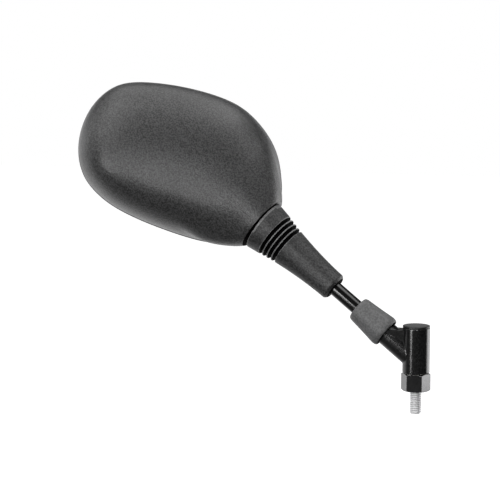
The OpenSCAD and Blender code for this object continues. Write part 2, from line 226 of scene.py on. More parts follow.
def gap_shade_black():
    """Painted shade, for faces in a narrow gap, which light does not reach."""
    mat, tree, bsdf = material("unlit_gap")
    grain = noise(tree, 900, 3.0, 0.6)
    tree.links.new(ramp(tree, grain, 0.3, 0.7, grey(0.0005), grey(0.0015)), bsdf.inputs["Base Color"])
    bsdf.inputs["Roughness"].default_value = 0.9
    bsdf.inputs["Specular IOR Level"].default_value = 0.05
    return mat


def satin_cap():
    mat, tree, bsdf = material("satin_black_cap")
    mottle = noise(tree, 700, 3.0, 0.6)
    tree.links.new(ramp(tree, mottle, 0.35, 0.65, grey(0.006), grey(0.014)), bsdf.inputs["Base Color"])
    tree.links.new(span(tree, mottle, 0.35, 0.45), bsdf.inputs["Roughness"])
    bsdf.inputs["Specular IOR Level"].default_value = 0.4
    bump(tree, bsdf, mottle, 0.00004, 0.5)
    return mat


def black_zinc():
    mat, tree, bsdf = material("black_zinc")
    bsdf.inputs["Metallic"].default_value = 1.0
    mottle = noise(tree, 700, 3.0, 0.6)
    tree.links.new(ramp(tree, mottle, 0.3, 0.7, grey(0.13), grey(0.17)), bsdf.inputs["Base Color"])
    tree.links.new(span(tree, mottle, 0.12, 0.2), bsdf.inputs["Roughness"])
    return mat


def metal(name, low, high, rough):
    mat, tree, bsdf = material(name)
    bsdf.inputs["Metallic"].default_value = 1.0
    mottle = noise(tree, 500, 3.0, 0.6)
    tree.links.new(ramp(tree, mottle, 0.3, 0.7, grey(low), grey(high)), bsdf.inputs["Base Color"])
    tree.links.new(span(tree, mottle, rough, rough + 0.15), bsdf.inputs["Roughness"])
    return mat


def plain_plastic(name, low, high, rough):
    mat, tree, bsdf = material(name)
    mottle = noise(tree, 250, 3.0, 0.6)
    colour = ramp(tree, mottle, 0.3, 0.7, low, high)
    tree.links.new(colour, bsdf.inputs["Base Color"])
    tree.links.new(span(tree, mottle, rough, rough + 0.1), bsdf.inputs["Roughness"])
    bump(tree, bsdf, mottle, 0.00003, 0.4)
    return mat


def silvered_glass():
    mat, tree, bsdf = material("silvered_glass")
    bsdf.inputs["Metallic"].default_value = 1.0
    haze = noise(tree, 40, 2.0, 0.5)
    colour = ramp(tree, haze, 0.3, 0.7, (0.86, 0.88, 0.9), (0.9, 0.92, 0.93))
    tree.links.new(colour, bsdf.inputs["Base Color"])
    tree.links.new(span(tree, haze, 0.01, 0.02), bsdf.inputs["Roughness"])
    return mat


MATERIALS = {
    "gloss_black": gloss_black(),
    "zinc_steel": zinc(),
    # A darker copy of the zinc, painted shade for the thread's roots
    "thread_root_shade": zinc("shaded_zinc", 0.5),
    "spring_steel": metal("oiled_spring_steel", 0.25, 0.4, 0.25),
    "worn_zinc": metal("worn_zinc", 0.2, 0.32, 0.22),
    "textured_black": grained_plastic(),
    "cast_black": cast_black(),
    "black_zinc": black_zinc(),
    "gap_shade_black": gap_shade_black(),
    "web_shade_enamel": web_shade_enamel(),
    # A lighter copy of the boot's rubber, a painted highlight for the lips of its folds
    "lip_highlight_rubber": rubber("boot_rubber_lip_highlight", 0.09, 0.15, 0.4),
    "satin_cap": satin_cap(),
    "boot_rubber": rubber("black_boot_rubber", 0.001, 0.035, 0.44),
    "cover_rubber": rubber("grey_cover_rubber", 0.062, 0.1, 0.48, 700),
    "seat_plastic": plain_plastic("white_seat_plastic", (0.62, 0.61, 0.56), (0.7, 0.69, 0.64), 0.3),
    "inner_plastic": plain_plastic("black_inner_plastic", grey(0.018), grey(0.028), 0.35),
    "foam": plain_plastic("dark_foam", grey(0.04), grey(0.06), 0.8),
    "mirror_face": silvered_glass(),
}
slots = {s["node"]: s["material_slot"] for s in frame["record"]["subparts"]}
# Plated pieces that a spanner has dulled
WORN = {"lock_nut": "worn_zinc", "lock_washer": "worn_zinc"}
for name, obj in nodes.items():
    obj.data.materials.clear()
    obj.data.materials.append(MATERIALS[WORN.get(name, slots[name])])


# Shapes

# The part's driving sizes in millimetres, as in its construction. The hexagon's turn, the web, the
# folds and grooves and the ends of the cover differ a little, to match the photograph, and the
# boot's wall is thinner, so that it clears the rod when it bends.
HEX_AF, HEX_H, HEX_TURN, HEX_CHAMFER = 17.0, 11.6, 8.0, 1.1
STUD_D, STUD_LEN, STUD_CHAMFER, THREAD_PITCH, THREAD_DEPTH = 8.0, 15.5, 0.9, 1.25, 0.72
KNUCKLE_D, KNUCKLE_TOP, CAP_T, CAP_PLUG, CAP_PLUG_D = 17.9, 41.9, 1.5, 3.5, 13.3
BOSS_D, BOSS_LEN, BOSS_HOLE, ROD_D, BALL_AT, BALL_D = 15.8, 27.5, 12.8, 9.8, 148.0, 16.0
WEB_DROP, WEB_T1, WEB_T2 = 1.9, 10.4, 15.7
COVER_LAP, COVER_LEN, COVER_D1, COVER_D2, COVER_R, COVER_BORE = 1.3, 25.8, 21.6, 17.2, 3.2, 10.1
BOOT_AT, BOOT_CONE, BOOT_D1, BOOT_D2, BOOT_FLARE, BOOT_CHAMFER = 71.5, 42.4, 19.3, 27.0, 1.8, 1.6
# How far the collar reaches up, towards which side most, and how far to that side the gap is open
COLLAR_REACH, COLLAR_CLOSE, GAP_OPEN = 2.0, Vector((0.582, 0.326, 0.745)), 13.0
FOLDS, GROOVE_W, FOLD_W, GROOVE_DEPTH, COLLAR_W = 3, 2.45, 0.85, 2.7, 9.4
COLLAR_D1, COLLAR_D2, COLLAR_ROOM, GROOVE_LIP, EDGE_W = 32.1, 35.6, 24.9, 0.45, 0.8
BOOT_ROOM, BOOT_WALL, BEND_FROM = 16.2, 0.7, 26.0
BELLOWS = FOLDS * (GROOVE_W + FOLD_W) + GROOVE_W
RIM_FRONT, DOME_H, SHELL_WALL, SHOULDER, CROWN = 21.0, 40.0, 2.6, 2.3, 2.0
BEAD_H, BEAD_STEP, MIDDLE = 2.4, 0.5, np.array([-50.0, 38.0])
CREST_FROM, CREST_TO, CREST_SOFTNESS = np.array([-92.0, 31.0]), np.array([-14.0, 8.0]), 7.0
NECK_D, NECK_OUT, NECK_FLARE, NECK_SPREAD, NECK_SINK, NECK_POWER = 35.8, 10.2, 24.0, 17.0, 1.5, 0.8
NECK_HOLE, NECK_HOLE_DEPTH, NECK_ZONE, SWELL_DEPTH = 17.6, 5.0, 90.0, -16.0
NECK_BLEND, RIM_BLEND, BLEND_LOW, BLEND_HIGH, NECK_END_BLEND = 24.0, 5.0, -14.0, 10.0, 22.0
GLASS_SINK, GLASS_T, SEAL_W, RUN_GAP, GLASS_BULGE = 0.6, 2.0, 1.8, 0.15, 0.45
HEAD_YAW, HEAD_PITCH = math.radians(24), math.radians(7)

RIM_POINTS = np.array([
    [21.9, 11.9], [21.7, 27], [18.9, 43.1], [10.8, 58.7], [-3.8, 74.1], [-21.9, 82.8],
    [-42.9, 88.6], [-62, 91.7], [-79, 92.6], [-91.6, 90.2], [-102.2, 83.3], [-110.8, 73],
    [-116.6, 59.6], [-118.6, 45.5], [-116.6, 32.4], [-110.9, 21.2], [-98.2, 8.9], [-80.2, -1.1],
    [-60.1, -9.3], [-39.1, -16.3], [-21, -19.7], [-5.9, -18.9], [6.2, -13.8], [16.8, -2.7]])


def axes(origin, x, y, z):
    """A frame whose unit is one millimetre."""
    turn = Matrix((x, y, z)).transposed().to_4x4()
    return Matrix.Translation(origin) @ turn @ Matrix.Scale(MM, 4)


ROW_FRAME = Matrix.Scale(MM, 4)
ACROSS = Vector((0, 1, 0))
STEM_FRAME = axes(CROSS, ACROSS.cross(STEM), ACROSS, STEM)
UP_OF_BOSS = math.copysign(1, ACROSS.cross(STEM).z)
HEAD_RIGHT = Vector((math.cos(HEAD_YAW), math.sin(HEAD_YAW), 0))
HEAD_BACK = Vector((math.sin(HEAD_YAW) * math.cos(HEAD_PITCH),
                    -math.cos(HEAD_YAW) * math.cos(HEAD_PITCH), math.sin(HEAD_PITCH)))
# Right, up and back of the head, from the ball centre
HEAD_FRAME = axes(BALL, HEAD_RIGHT, HEAD_BACK.cross(HEAD_RIGHT), HEAD_BACK)


def mesh_of(name, points, faces):
    mesh = bpy.data.meshes.new(name)
    mesh.from_pydata([tuple(p) for p in points], [], [tuple(int(i) for i in f) for f in faces])
    return mesh


def place(name, points, faces, frame, body, nodes_shown, slot, sharp=35, finish=None):
    """A mesh piece that stands for CAD nodes, with its place in its mesh."""
    mesh = mesh_of(name, points, faces)
    mesh.transform(frame)
    work = bmesh.new()
    work.from_mesh(mesh)
    bmesh.ops.remove_doubles(work, verts=work.verts, dist=1e-7)
    bmesh.ops.recalc_face_normals(work, faces=work.faces)
    work.to_mesh(mesh)
    work.free()
    return dress(name, mesh, body, nodes_shown, slot, sharp, finish)


def dress(name, mesh, body, nodes_shown, slot, sharp=35, finish=None):
    for polygon in mesh.polygons:
        polygon.use_smooth = True
    mesh.set_sharp_from_angle(angle=math.radians(sharp))
    mesh.materials.clear()
    mesh.materials.append(finish or MATERIALS[slot])
    obj = bpy.data.objects.new(name, mesh)
    bpy.context.scene.collection.objects.link(obj)
    if body:
        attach(obj, body)
    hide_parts(*nodes_shown)
    return obj


def paint(obj, finish, chosen):
    """Give the faces that a test chooses a material of their own."""
    obj.data.materials.append(MATERIALS[finish])
    index = len(obj.data.materials) - 1
    for polygon in obj.data.polygons:
        if chosen(polygon):
            polygon.material_index = index


def rounded(corners, steps=6):
    """A polyline of (x, y) or (x, y, rounding) corners, each corner drawn in to a soft curve."""
    points = []
    for i, corner in enumerate(corners):
        p = np.array(corner[:2], float)
        radius = corner[2] if len(corner) > 2 else 0
        if not radius or i in (0, len(corners) - 1):
            points.append(p)
            continue
        a, b = np.array(corners[i - 1][:2], float), np.array(corners[i + 1][:2], float)
        start = p + (a - p) * min(radius / np.linalg.norm(a - p), 0.48)
        end = p + (b - p) * min(radius / np.linalg.norm(b - p), 0.48)
        for t in np.linspace(0, 1, steps + 1):
            points.append((1 - t) ** 2 * start + 2 * t * (1 - t) * p + t * t * end)
    return points


def dense(points, step):
    """The same polyline with no stretch longer than a step."""
    out = [points[0]]
    for a, b in zip(points, points[1:]):
        n = max(1, math.ceil(np.linalg.norm(np.subtract(b, a)) / step))
        out += [np.add(a, np.subtract(b, a) * k / n) for k in range(1, n + 1)]
    return out


def circle(radius, turn, z):
    """Points at each turn round the axis, with one radius for all or one for each."""
    return list(np.column_stack([radius * np.cos(turn), radius * np.sin(turn), np.full(len(turn), z)]))


def lathe(name, profile, frame, body, nodes_shown, slot, sides=160, closed=False, sharp=35,
          finish=None):
    """A turned piece from (radius, height) points."""
    points, faces, rows = [], [], []
    for r, z in profile:
        count = sides if r > 1e-6 else 1
        rows.append(range(len(points), len(points) + count))
        turn = np.arange(count) * 2 * math.pi / sides
        points += circle(r, turn, z)
    pairs = list(zip(rows, rows[1:])) + ([(rows[-1], rows[0])] if closed else [])
    for a, b in pairs:
        for i in range(sides):
            k = (i + 1) % sides
            ring = [a[i % len(a)], a[k % len(a)], b[k % len(b)], b[i % len(b)]]
            face = [v for n, v in enumerate(ring) if v not in ring[:n]]
            if len(face) > 2:
                faces.append(face)
    return place(name, points, faces, frame, body, nodes_shown, slot, sharp, finish)


def strip_faces(rows, sides):
    """Quads of a grid of rows, closed round each row."""
    i = np.arange(sides)
    k = (i + 1) % sides
    return [(j * sides + a, j * sides + b, (j + 1) * sides + b, (j + 1) * sides + a)
            for j in range(rows - 1) for a, b in zip(i, k)]


def closing_faces(rows, sides):
    """Quads between the last row of a grid and its first."""
    last = (rows - 1) * sides
    return [(i, (i + 1) % sides, last + (i + 1) % sides, last + i) for i in range(sides)]


# Base and knuckle


def hexagon_base():
    """The hexagon with softened corners and turned chamfers at both ends."""
    sides, corner_power = 720, 110
    turn = np.arange(sides) * 2 * math.pi / sides
    facing = [math.radians(HEX_TURN + 30 + 60 * k) for k in range(6)]
    spread = sum(np.maximum(np.cos(turn - f), 0) ** corner_power for f in facing)
    flat = HEX_AF / 2 / spread ** (1 / corner_power)
    bore, end_face = np.full(sides, STUD_D / 2 + 0.6), np.full(sides, HEX_AF / 2 - 0.35)
    steps = np.linspace(0, 1, 9)
    flank = np.linspace(HEX_CHAMFER, HEX_H - HEX_CHAMFER, 12)[1:]
    levels = np.concatenate([HEX_CHAMFER * steps, flank, HEX_H - HEX_CHAMFER * steps[::-1][1:]])
    rings = [(bore, 0.0), (end_face, 0.0)]
    for z in levels:
        cone = HEX_AF / 2 - 0.15 + 2 * min(z + 0.05, HEX_H - z + 0.05)
        rings.append((np.minimum(flat, cone), z))
    rings += [(end_face, HEX_H), (bore, HEX_H)]
    points = [p for r, z in rings for p in circle(r, turn, z)]
    faces = strip_faces(len(rings), sides) + closing_faces(len(rings), sides)
    place("hexagon", points, faces, ROW_FRAME, "base", ["hex_base"], "gloss_black", 22,
          MATERIALS["black_zinc"])


def threaded_bolt():
    """The bolt: a rolled metric thread on the stud, then shank, head and key socket."""
    sides, per_turn = 120, 16
    flank_slope, crest_flat, lead_slope = 2.6, 0.18, 1.1
    rows = int(STUD_LEN / THREAD_PITCH * per_turn)
    turn = np.arange(sides) * 2 * math.pi / sides
    points = [(0, 0, -STUD_LEN)]
    for j in range(rows + 1):
        z = -STUD_LEN + STUD_LEN * j / rows
        phase = (z / THREAD_PITCH - turn / (2 * math.pi)) % 1.0
        crest = 1 - np.clip(np.abs(phase - 0.5) * flank_slope - crest_flat, 0, 1)
        r = STUD_D / 2 - THREAD_DEPTH * (1 - crest)
        r = np.minimum(r, STUD_D / 2 - STUD_CHAMFER + (z + STUD_LEN) * lead_slope)
        points += circle(r, turn, z)
    faces = [(0, 1 + (i + 1) % sides, 1 + i) for i in range(sides)]
    faces += [tuple(v + 1 for v in f) for f in strip_faces(rows + 1, sides)]
    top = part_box("pivot_bolt")[1].z / MM
    head_r, head_h, key_r, key_h, shank_r = 6.5, 7.0, 3.4, 4.0, 4.5
    upper = rounded([(STUD_D / 2 - 0.5, 0), (shank_r, 0.1), (shank_r, top - head_h),
                     (head_r, top - head_h), (head_r, top, 0.6), (key_r, top),
                     (key_r, top - key_h), (0, top - key_h)])
    base = len(points) - sides
    for r, z in upper[:-1]:
        points += circle(r, turn, z)
    faces += [tuple(v + base for v in f) for f in strip_faces(len(upper), sides)]
    points.append((0, 0, upper[-1][1]))
    tip, ring = len(points) - 1, len(points) - 1 - sides
    faces += [(ring + i, ring + (i + 1) % sides, tip) for i in range(sides)]
    bolt = place("threaded_bolt", points, faces, ROW_FRAME, "base", ["pivot_bolt"], "zinc_steel", 50)
    # Painted shade in the roots of the thread
    paint(bolt, "thread_root_shade", lambda f: STUD_CHAMFER < f.center.z / MM + STUD_LEN < STUD_LEN
          and f.center.xy.length < (STUD_D / 2 - 0.6 * THREAD_DEPTH) * MM)


def add_web(mesh):
    """Widen the web until its faces run into the flanks of the boss."""
    slope_x, slope_z, cross_z = STEM.x, STEM.z, CROSS.z / MM
    top, end = KNUCKLE_TOP - WEB_DROP, BOSS_LEN - COVER_LAP - 0.2
    face_x = (end - (top - cross_z) * slope_z) / slope_x
    side = [(0, cross_z), (0, top), (face_x, top), (end * slope_x, cross_z + end * slope_z)]
    work = bmesh.new()
    work.from_mesh(mesh)

    def corner(x, z, sign):
        thickness = WEB_T1 + (WEB_T2 - WEB_T1) * x / (end * slope_x)
        return work.verts.new(Vector((x, sign * thickness / 2, z)) * MM)

    rows = [[corner(x, z, sign) for x, z in side] for sign in (-1, 1)]
    work.faces.new(rows[0])
    work.faces.new(rows[1][::-1])
    for i in range(4):
        j = (i + 1) % 4
        work.faces.new((rows[0][j], rows[0][i], rows[1][i], rows[1][j]))
    work.to_mesh(mesh)
    work.free()


def between_barrel_and_boss(polygon):
    """True for the web and its fillets, which get a dull near-black finish as painted shade."""
    centre = polygon.center / MM
    return (centre.xy.length > KNUCKLE_D / 2 + 0.05 and abs(centre.y) < WEB_T2 / 2 + 0.3
            and (polygon.center - CROSS).cross(STEM).length / MM > BOSS_D / 2 + 0.04
            and (polygon.center - CROSS).dot(ACROSS.cross(STEM)) * UP_OF_BOSS > 0)


def cast_knuckle():
    """The casting: the solid's own shape with its edges worn round and its corners filled."""
    mesh = nodes["knuckle"].data.copy()
    mesh.name = "cast_knuckle"
    add_web(mesh)
    holder = bpy.data.objects.new("casting_work", mesh)
    bpy.context.scene.collection.objects.link(holder)
    remesh = holder.modifiers.new("skin", "REMESH")
    remesh.mode, remesh.voxel_size, remesh.adaptivity = "VOXEL", 0.3 * MM, 0.0
    soften = holder.modifiers.new("soften", "SMOOTH")
    soften.factor, soften.iterations = 0.5, 8
    evaluated = holder.evaluated_get(bpy.context.evaluated_depsgraph_get())
    skin = bpy.data.meshes.new_from_object(evaluated)
    bpy.data.objects.remove(holder)
    casting = dress("casting", skin, "arm", ["knuckle"], "gloss_black", 60, MATERIALS["cast_black"])
    # Painted shade on the web and its fillets
    paint(casting, "web_shade_enamel", between_barrel_and_boss)


def barrel_cap():
    r, z, plug = KNUCKLE_D / 2, KNUCKLE_TOP, CAP_PLUG_D / 2
    joint, edge = r - 0.45, r - 0.05
    profile = rounded([(0, z - CAP_PLUG), (plug, z - CAP_PLUG, 0.4), (plug, z),
                       (joint, z + 0.02), (joint, z + 0.28), (edge, z + 0.32, 0.1),
                       (edge, z + CAP_T - 0.12, 0.75), (r - 1.7, z + CAP_T - 0.05, 0.5),
                       (0, z + CAP_T)])
    lathe("barrel_cap", profile, ROW_FRAME, "arm", ["pivot_cap"], "gloss_black",
          finish=MATERIALS["satin_cap"])


# Stem


def stem():
    """The rod with its thread in the boss and the ball at its end."""
    r, start = ROD_D / 2, BOSS_LEN - BOSS_HOLE
    thread_depth = 0.55
    profile = [(0, start), (r - 0.8, start), (r, start + 0.8)]
    thread_end = BOSS_LEN + 10
    z = start + 1.2
    while z < thread_end:
        root = r - thread_depth
        profile += [(r, z), (root, z + thread_depth), (root, z + 0.7), (r, z + 1.2)]
        z += THREAD_PITCH
    ball = BALL_D / 2
    low = math.asin(r / ball)
    profile += [(r, thread_end + 1), (r, BALL_AT - ball * math.cos(low))]
    profile += [(ball * math.sin(a), BALL_AT - ball * math.cos(a))
                for a in np.linspace(low, math.pi, 40)[1:-1]]
    profile += [(0, BALL_AT + ball)]
    lathe("stem", profile, STEM_FRAME, "arm", ["stem_rod"], "gloss_black", 128)


def rubber_cover():
    """The soft sleeve over the nut, thicker at the knuckle and round at both ends."""
    nearer, shorter, end_round = 0.4, 0.2, 3.4
    z0 = BOSS_LEN - COVER_LAP - nearer
    z1 = z0 + COVER_LEN - shorter
    r1, r2, bore = COVER_D1 / 2, COVER_D2 / 2, COVER_BORE / 2
    mid = 0.5 * (r1 + r2)
    pocket, pocket_len = 9.6, 9.4
    step = z0 + pocket_len
    end = [(pocket + (r1 - pocket) * math.sin(a), z0 + end_round * (1 - math.cos(a)))
           for a in np.linspace(0, math.pi / 2, 9)]
    outer = rounded(end + [(mid, 0.5 * (z0 + z1), 8), (r2, z1, COVER_R),
                     (bore, z1, 0.5), (bore, step + 3), (pocket, step), (pocket, z0)], 9)
    cover = lathe("rubber_cover", outer[:-1], STEM_FRAME, "cover", ["nut_cover"], "cover_rubber",
                  closed=True)
    # Painted shade inside the pocket at the cover's lower end
    paint(cover, "gap_shade_black", lambda f: (f.center - CROSS).dot(STEM) < step * MM
          and (f.center - CROSS).cross(STEM).length < (pocket + 0.05) * MM)


def move_up(distance):
    """The stem's frame, moved along the stem."""
    return STEM_FRAME @ Matrix.Translation((0, 0, distance))


def boot_outline():
    """The outer line of the boot from its small end to its collar."""
    pitch = GROOVE_W + FOLD_W
    length = BOOT_CONE + BELLOWS + COLLAR_W
    line = [(BOOT_D1 / 2 - BOOT_CHAMFER, 0, 0.3), (BOOT_D1 / 2, BOOT_CHAMFER, 0.6)]
    for t in np.linspace(0, 1, 30)[1:]:
        z = BOOT_CHAMFER + (BOOT_CONE - BOOT_CHAMFER) * t
        line.append(((BOOT_D1 + (BOOT_D2 - BOOT_D1) * (z / BOOT_CONE) ** BOOT_FLARE) / 2, z,
                     0.35 if t == 1 else 0))

    def tip(z):
        return (BOOT_D2 + (COLLAR_D1 - BOOT_D2) * (z - BOOT_CONE) / BELLOWS) / 2

    for i in range(FOLDS + 1):
        z = BOOT_CONE + i * pitch
        root = tip(z + GROOVE_W / 2) - GROOVE_DEPTH
        line += [(root, z + 0.1, 0.4), (root, z + GROOVE_W - 0.1, 0.4)]
        if i < FOLDS:
            crest = tip(z + GROOVE_W + FOLD_W / 2)
            line += [(crest, z + GROOVE_W, 0.4), (crest, z + pitch, 0.4)]
    line += [(COLLAR_D1 / 2, length - COLLAR_W, 0.45), (COLLAR_D2 / 2, length, 0.4),
             (COLLAR_ROOM / 2 + 1, length)]
    return line, length, BOOT_CONE + FOLDS * pitch + GROOVE_W / 2


def fold_place(polygon):
    """How far a face of the boot lies along the folds, beside its axis and below their tips."""
    offset = polygon.center - CROSS
    z = offset.dot(STEM) / MM - BOOT_AT - BOOT_CONE
    radius = (offset - STEM * offset.dot(STEM)).length / MM
    lip = (BOOT_D2 + (COLLAR_D1 - BOOT_D2) * z / BELLOWS) / 2
    return z, radius, lip - radius


def in_groove(polygon):
    """True for the root and the walls of a fold's groove, which get painted shade."""
    z, radius, depth = fold_place(polygon)
    return -0.3 < z < BELLOWS + 0.3 and radius > BOOT_ROOM / 2 + 0.2 and depth > GROOVE_LIP


def on_lip(polygon):
    """True for the tips of the folds and for the edges beside the grooves and the neck, which get a
    painted highlight.
    """
    z, _, depth = fold_place(polygon)
    edges = (-EDGE_W / 2, EDGE_W), (BELLOWS - EDGE_W, BELLOWS + EDGE_W / 2)
    end = BELLOWS + COLLAR_W
    if any(low < z < high for low, high in edges) or EDGE_W < z < BELLOWS - EDGE_W:
        return depth <= GROOVE_LIP
    return z > end - EDGE_W / 2 and COLLAR_D2 / 2 - depth > 0 and polygon.normal.dot(STEM) < 0.85


def boot():
    """The rubber boot in two pieces, which meet out of sight at the root of the last groove."""
    line, length, seam = boot_outline()
    outer = dense(rounded([(ROD_D / 2 + RUN_GAP, 0)] + line, 5), 1.0)
    low = [p for p in outer if p[1] <= seam + 1e-6]
    high = [p for p in outer if p[1] > seam + 1e-6]
    root = low[-1][0]
    bore, room, wide = ROD_D / 2 + RUN_GAP, root - BOOT_WALL, COLLAR_ROOM / 2
    low += [(root, seam)]
    inner = [(room, seam), (BOOT_ROOM / 2 + 2, BOOT_CONE), (BOOT_ROOM / 2, BOOT_CONE - 8),
             (bore, BOOT_CONE / 2), (bore, 0.3)]
    lower = lathe("boot_cone", low + dense(inner, 1.0), move_up(BOOT_AT), None, ["stem_boot"],
                  "boot_rubber", closed=True, sharp=50)
    inner = [(wide, length), (room, seam)]
    upper = lathe("boot_collar", [(root, seam)] + high + dense(inner, 1.0), move_up(BOOT_AT),
                  None, ["stem_boot"], "boot_rubber", closed=True, sharp=50)
    for v in upper.data.vertices:
        z = (v.co - CROSS).dot(STEM) / MM - BOOT_AT
        if z > length - COLLAR_W + 1:
            side = (v.co - CROSS).dot(COLLAR_CLOSE) / MM / (COLLAR_D2 / 2)
            share = (z - length + COLLAR_W - 1) / (COLLAR_W - 1)
            v.co += STEM * COLLAR_REACH * MM * share * (0.5 + 0.5 * side)
    # Painted highlight on the lips of the folds, painted shade in the grooves
    for piece in (lower, upper):
        paint(piece, "lip_highlight_rubber", on_lip)
        paint(piece, "gap_shade_black", in_groove)
    # Painted shade on the face of the small end round the rod
    paint(lower, "gap_shade_black", lambda f: f.normal.dot(STEM) < -0.9
          and (f.center - CROSS).cross(STEM).length < (BOOT_D1 / 2 - BOOT_CHAMFER) * MM)
    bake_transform(lower)
    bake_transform(upper)


# Head


def outline(steps):
    """The closed curve through the rim points."""
    p = RIM_POINTS
    a, c, d = np.roll(p, 1, 0), np.roll(p, -1, 0), np.roll(p, -2, 0)
    t = (np.arange(steps) / steps)[None, :, None]
    a, b, c, d = (v[:, None, :] for v in (a, p, c, d))
    curve = 0.5 * (2 * b + (c - a) * t + (2 * a - 5 * b + 4 * c - d) * t ** 2
                   + (3 * b - a - 3 * c + d) * t ** 3)
    curve = curve.reshape(-1, 2)
    for _ in range(3 * steps):
        curve = 0.5 * curve + 0.25 * (np.roll(curve, 1, 0) + np.roll(curve, -1, 0))
    return curve


def inset(line, d):
    v = np.roll(line, -1, 0) - np.roll(line, 1, 0)
    v /= np.linalg.norm(v, axis=1)[:, None]
    return line + d * np.column_stack([-v[:, 1], v[:, 0]])


RIM = outline(14)
DOME_LINE = inset(RIM, BEAD_STEP)
DOME_FOOT = -RIM_FRONT + BEAD_H + BEAD_STEP
DOME_RISE = DOME_H - BEAD_H - BEAD_STEP

CREST = CREST_TO - CREST_FROM
CREST_DIR = CREST / np.linalg.norm(CREST)
CREST_SIDE = np.array([-CREST_DIR[1], CREST_DIR[0]])
REACH = RIM @ CREST_DIR
REACH_FROM, REACH_SPAN = REACH.min(), REACH.max() - REACH.min()


def dome_ring(line, s):
    """The outline drawn in to a share s of its way towards the dome's crest."""
    crest = CREST_FROM + ((line @ CREST_DIR - REACH_FROM) / REACH_SPAN)[:, None] * CREST
    return crest + s * (line - crest)


def softened(table, radius):
    """The table with its creases rounded near the crest, and left as it is near the rim."""
    reach = int(3 * radius)
    weight = np.exp(-0.5 * (np.arange(-reach, reach + 1) / radius) ** 2)
    weight /= weight.sum()
    soft = table
    for axis in (0, 1):
        padded = np.pad(soft, [(reach, reach) if a == axis else (0, 0) for a in (0, 1)], mode="edge")
        soft = np.apply_along_axis(np.convolve, axis, padded, weight, mode="valid")
    t = np.clip((0.95 - table) / 0.45, 0, 1)
    return table + (soft - table) * t * t * (3 - 2 * t)


# Room round the outline of the head, in millimetres
GRID_X, GRID_Y = (-135, 45), (-45, 110)


def share_map(spacing=0.5):
    """For a grid of points seen from the back, the share s whose ring passes through each."""
    xs, ys = np.arange(*GRID_X, spacing), np.arange(*GRID_Y, spacing)
    grid = np.stack(np.meshgrid(xs, ys), -1).reshape(-1, 2)
    along, across = grid @ CREST_DIR, grid @ CREST_SIDE
    start, line = CREST_FROM @ CREST_DIR, CREST_FROM @ CREST_SIDE
    squeeze = np.linalg.norm(CREST) / REACH_SPAN
    q = DOME_LINE - MIDDLE
    angle = np.arctan2(q @ CREST_SIDE, q @ CREST_DIR) % (2 * math.pi)
    order = np.argsort(angle)
    angle, reach = angle[order], np.hypot(q[:, 0], q[:, 1])[order]
    low, high = np.full(len(grid), 1e-3), np.full(len(grid), 2.5)
    for _ in range(26):
        s = 0.5 * (low + high)
        t = (along - (1 - s) * (start - squeeze * REACH_FROM)) / (s + (1 - s) * squeeze)
        t -= MIDDLE @ CREST_DIR
        n = (across - (1 - s) * line) / s - MIDDLE @ CREST_SIDE
        limit = np.interp(np.arctan2(n, t) % (2 * math.pi), angle, reach, period=2 * math.pi)
        outside = np.hypot(t, n) > limit
        low, high = np.where(outside, s, low), np.where(outside, high, s)
    return xs[0], ys[0], spacing, softened(low.reshape(len(ys), len(xs)), CREST_SOFTNESS / spacing)


SHARES = share_map()


def share_at(x, y):
    x0, y0, spacing, table = SHARES
    u = np.clip((x - x0) / spacing, 0, table.shape[1] - 1.001)
    v = np.clip((y - y0) / spacing, 0, table.shape[0] - 1.001)
    i, j = u.astype(int), v.astype(int)
    u, v = u - i, v - j
    return ((table[j, i] * (1 - u) + table[j, i + 1] * u) * (1 - v)
            + (table[j + 1, i] * (1 - u) + table[j + 1, i + 1] * u) * v)


NECK_DIR = np.array(HEAD_FRAME.to_3x3().normalized().transposed() @ -STEM)
NECK_SIDE = np.cross([0, 0, 1], NECK_DIR)
NECK_SIDE /= np.linalg.norm(NECK_SIDE)
NECK_UP = np.cross(NECK_DIR, NECK_SIDE)


def dome_value(p):
    """Below one inside the dome, above one outside."""
    h = np.maximum(p[..., 2] - DOME_FOOT, 0) / DOME_RISE
    return np.sqrt(share_at(p[..., 0], p[..., 1]) ** SHOULDER + h ** CROWN)


def dome_distance(p):
    """About how far a point is from the dome, in millimetres, below zero inside."""
    value = dome_value(p)
    step = 0.4
    slope = [(dome_value(p + step * axis) - dome_value(p - step * axis)) / (2 * step)
             for axis in np.eye(3)]
    return (value - 1) / np.maximum(np.sqrt(sum(g * g for g in slope)), 1e-4)


def neck_distance(p):
    """The same for the flared neck, with its inner end run into the dome."""
    along = p @ NECK_DIR
    u = np.clip((NECK_OUT - along) / NECK_FLARE, 0, 1.4)
    w = NECK_D / 2 + NECK_SPREAD * u ** NECK_POWER
    h = NECK_D / 2 - NECK_SINK * u
    x, y = p @ NECK_SIDE, p @ NECK_UP
    roundness = np.sqrt((x / w) ** 2 + (y / h) ** 2)
    inner_end = -NECK_FLARE * 1.2 + NECK_OUT - along
    r = np.maximum(np.hypot(x, y), 1e-6)
    side = (roundness - 1) * h * w / np.hypot(w * np.abs(y) / r, h * np.abs(x) / r)
    return np.maximum(side, inner_end) + smooth_step(side - inner_end, NECK_END_BLEND)


def smooth_step(difference, reach):
    """What a rounded joint of two surfaces adds where their distances are nearly equal."""
    h = np.maximum(reach - np.abs(difference), 0) / reach
    return h ** 3 * reach / 6


def head_distance(p):
    """Dome and neck run together, widely over the back and tightly at the rim."""
    a, b = dome_distance(p), neck_distance(p)
    t = np.clip((p[..., 2] - BLEND_LOW) / (BLEND_HIGH - BLEND_LOW), 0, 1)
    k = RIM_BLEND + (NECK_BLEND - RIM_BLEND) * t * t * (3 - 2 * t)
    return np.minimum(a, b) - smooth_step(a - b, k)


